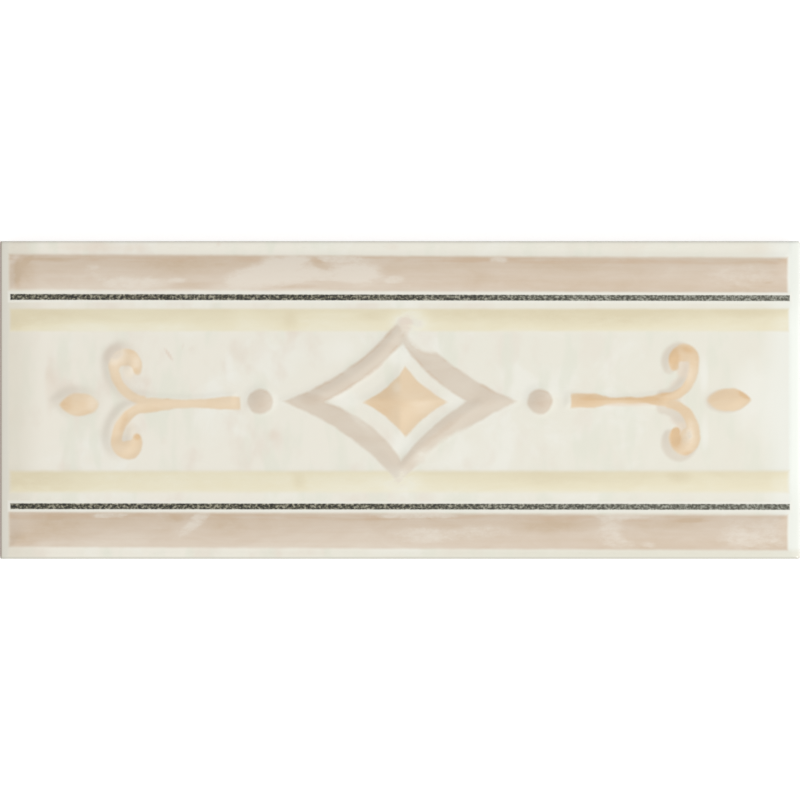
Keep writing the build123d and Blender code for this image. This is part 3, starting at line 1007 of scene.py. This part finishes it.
# painted shade on the left arris, which faces away from the lamp
painted = glaze.mix(glaze.step(glaze.x, -99.3, -99.75, top=0.95), painted, left_arris_shade)
painted = glaze.mix(glaze.step(glaze.y, -38.9, -39.5, top=0.85), painted, lower_edge)

# %% Bare clay below the end of the glaze
clay_colours = [linear(196, 168, 138), linear(222, 200, 174)]
glaze_roughness, side_roughness, back_roughness = 0.2, 0.83, 0.85
clay_speckle = glaze.math("ADD", glaze.noise(0.5, shift=41, detail=5, roughness=0.65), 0.5)
glaze_line = glaze.math("MULTIPLY_ADD", glaze.noise(0.12, shift=13, detail=3), 3.5, glaze.z)
unglazed = glaze.step(glaze_line, 3.4, 3.0)
painted = glaze.mix(unglazed, painted, glaze.ramp(clay_speckle, *clay_colours))
glaze.plug(painted, glaze.surface.inputs["Base Color"])
roughness = glaze.math("MULTIPLY_ADD", unglazed, side_roughness - glaze_roughness, glaze_roughness)
glaze.plug(roughness, glaze.surface.inputs["Roughness"])

# %% Ripple
ripple_height, ripple_strength = 0.06, 0.35
surface_height = glaze.math("MULTIPLY", glaze.noise(0.35, shift=11, detail=2), ripple_height)
ripple = glaze.add("ShaderNodeBump")
glaze.plug(ripple_strength, ripple.inputs["Strength"])
glaze.plug(MM, ripple.inputs["Distance"])
glaze.plug(surface_height, ripple.inputs["Height"])
glaze.plug(ripple.outputs["Normal"], glaze.surface.inputs["Normal"])
print("nodes of the glaze", len(glaze.tree.nodes))

# %% The bare clay of the back
clay = Bench("fired_clay")
clay_tone = clay.math("ADD", clay.noise(0.4, detail=5, roughness=0.65), 0.5)
clay.plug(clay.ramp(clay_tone, *clay_colours), clay.surface.inputs["Base Color"])
clay.plug(back_roughness, clay.surface.inputs["Roughness"])

# %% [markdown]
# ## Dress the tile
# The glaze covers the face and the upper part of the sides, and the back stays bare clay, as on a tile
# that was fired lying on its back. Both are materials of the one mesh. Each face takes one of them by its
# height, which needs no seam.

# %% Give the faces their material
tile.data.materials.append(glaze.material)
tile.data.materials.append(clay.material)
on_back = (face_centres(tile)[:, 2] < back_bevel).astype(np.int32)
tile.data.polygons.foreach_set("material_index", on_back)
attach(tile, "root")
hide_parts("border_tile")
triangles = sum(len(face.vertices) - 2 for face in tile.data.polygons)
print("triangles", triangles)

# %% [markdown]
# ## Floor, light and camera
# The tile lies on a white floor, seen from straight above. A broad lamp low on the right brings out the
# relief, and an even sky fills the shade.

# %% White floor
floor_size, floor_drop = 6, 0.0005  # metres; the drop keeps it clear of the back
floor_grey, floor_glow = 0.5, 0.75


def seen_directly(tree):
    """1 for rays from the camera or passed on by a glossy or clear surface, and 0 for others."""
    path = tree.nodes.new("ShaderNodeLightPath")
    value = path.outputs["Is Camera Ray"]
    for name in ("Is Glossy Ray", "Is Transmission Ray"):
        either = tree.nodes.new("ShaderNodeMath")
        either.operation = "MAXIMUM"
        tree.links.new(value, either.inputs[0])
        tree.links.new(path.outputs[name], either.inputs[1])
        value = either.outputs[0]
    return value


start_clean()
bpy.ops.mesh.primitive_plane_add(size=floor_size, location=(0, 0, -floor_drop))
floor = bpy.context.object
floor.name = "floor"
paper = bpy.data.materials.new("white_floor")
paper.use_nodes = True
nodes, links = paper.node_tree.nodes, paper.node_tree.links
diffuse = nodes.new("ShaderNodeBsdfDiffuse")
glow = nodes.new("ShaderNodeEmission")
sum_up = nodes.new("ShaderNodeAddShader")
diffuse.inputs["Color"].default_value = (floor_grey, floor_grey, floor_grey, 1)
strength = nodes.new("ShaderNodeMath")
strength.operation = "MULTIPLY"
strength.inputs[1].default_value = floor_glow
links.new(seen_directly(paper.node_tree), strength.inputs[0])
links.new(strength.outputs[0], glow.inputs["Strength"])
links.new(diffuse.outputs[0], sum_up.inputs[0])
links.new(glow.outputs[0], sum_up.inputs[1])
links.new(sum_up.outputs[0], nodes["Material Output"].inputs["Surface"])
floor.data.materials.append(paper)

# %% Sky and lamp
sky_light, sky_seen = 0.64, 1.0  # strength of the sky as a light, and as the camera sees it
lamp_size, lamp_power = 0.7, 23  # metres and watts
world = bpy.data.worlds.new("even_sky")
bpy.context.scene.world = world
world.use_nodes = True
sky, sky_links = world.node_tree.nodes, world.node_tree.links
sky_strength = sky.new("ShaderNodeMapRange")
sky_strength.inputs["To Min"].default_value = sky_light
sky_strength.inputs["To Max"].default_value = sky_seen
sky_links.new(seen_directly(world.node_tree), sky_strength.inputs["Value"])
sky_links.new(sky_strength.outputs["Result"], sky["Background"].inputs["Strength"])
sky["Background"].inputs["Color"].default_value = (1, 1, 1, 1)

lamp_azimuth, lamp_elevation, lamp_distance = math.radians(-35), math.radians(38), 2.0
lamp_data = bpy.data.lights.new("window_lamp", "AREA")
lamp_data.shape = "DISK"
lamp_data.size = lamp_size
lamp_data.energy = lamp_power
lamp = bpy.data.objects.new("window_lamp", lamp_data)
bpy.context.collection.objects.link(lamp)
lamp.location = (
    lamp_distance * math.cos(lamp_elevation) * math.cos(lamp_azimuth),
    lamp_distance * math.cos(lamp_elevation) * math.sin(lamp_azimuth),
    lamp_distance * math.sin(lamp_elevation),
)
lamp.rotation_euler = (-lamp.location).to_track_quat("-Z", "Y").to_euler()
print("lamp at", [round(value, 2) for value in lamp.location], "m")

# %% Camera straight above
camera_data = bpy.data.cameras.new("camera")
camera_data.lens = 135
camera_data.sensor_width = 36
camera = bpy.data.objects.new("camera", camera_data)
bpy.context.collection.objects.link(camera)
edge_z = (field_z - rim_drop) * MM  # the tile is widest there, and fills the width of the picture
camera.location = (0, 0, edge_z + tile_length * MM * camera_data.lens / camera_data.sensor_width)
bpy.context.scene.camera = camera
print("camera height", round(camera.location.z, 3), "m")
bpy.context.scene.view_settings.view_transform = "Standard"
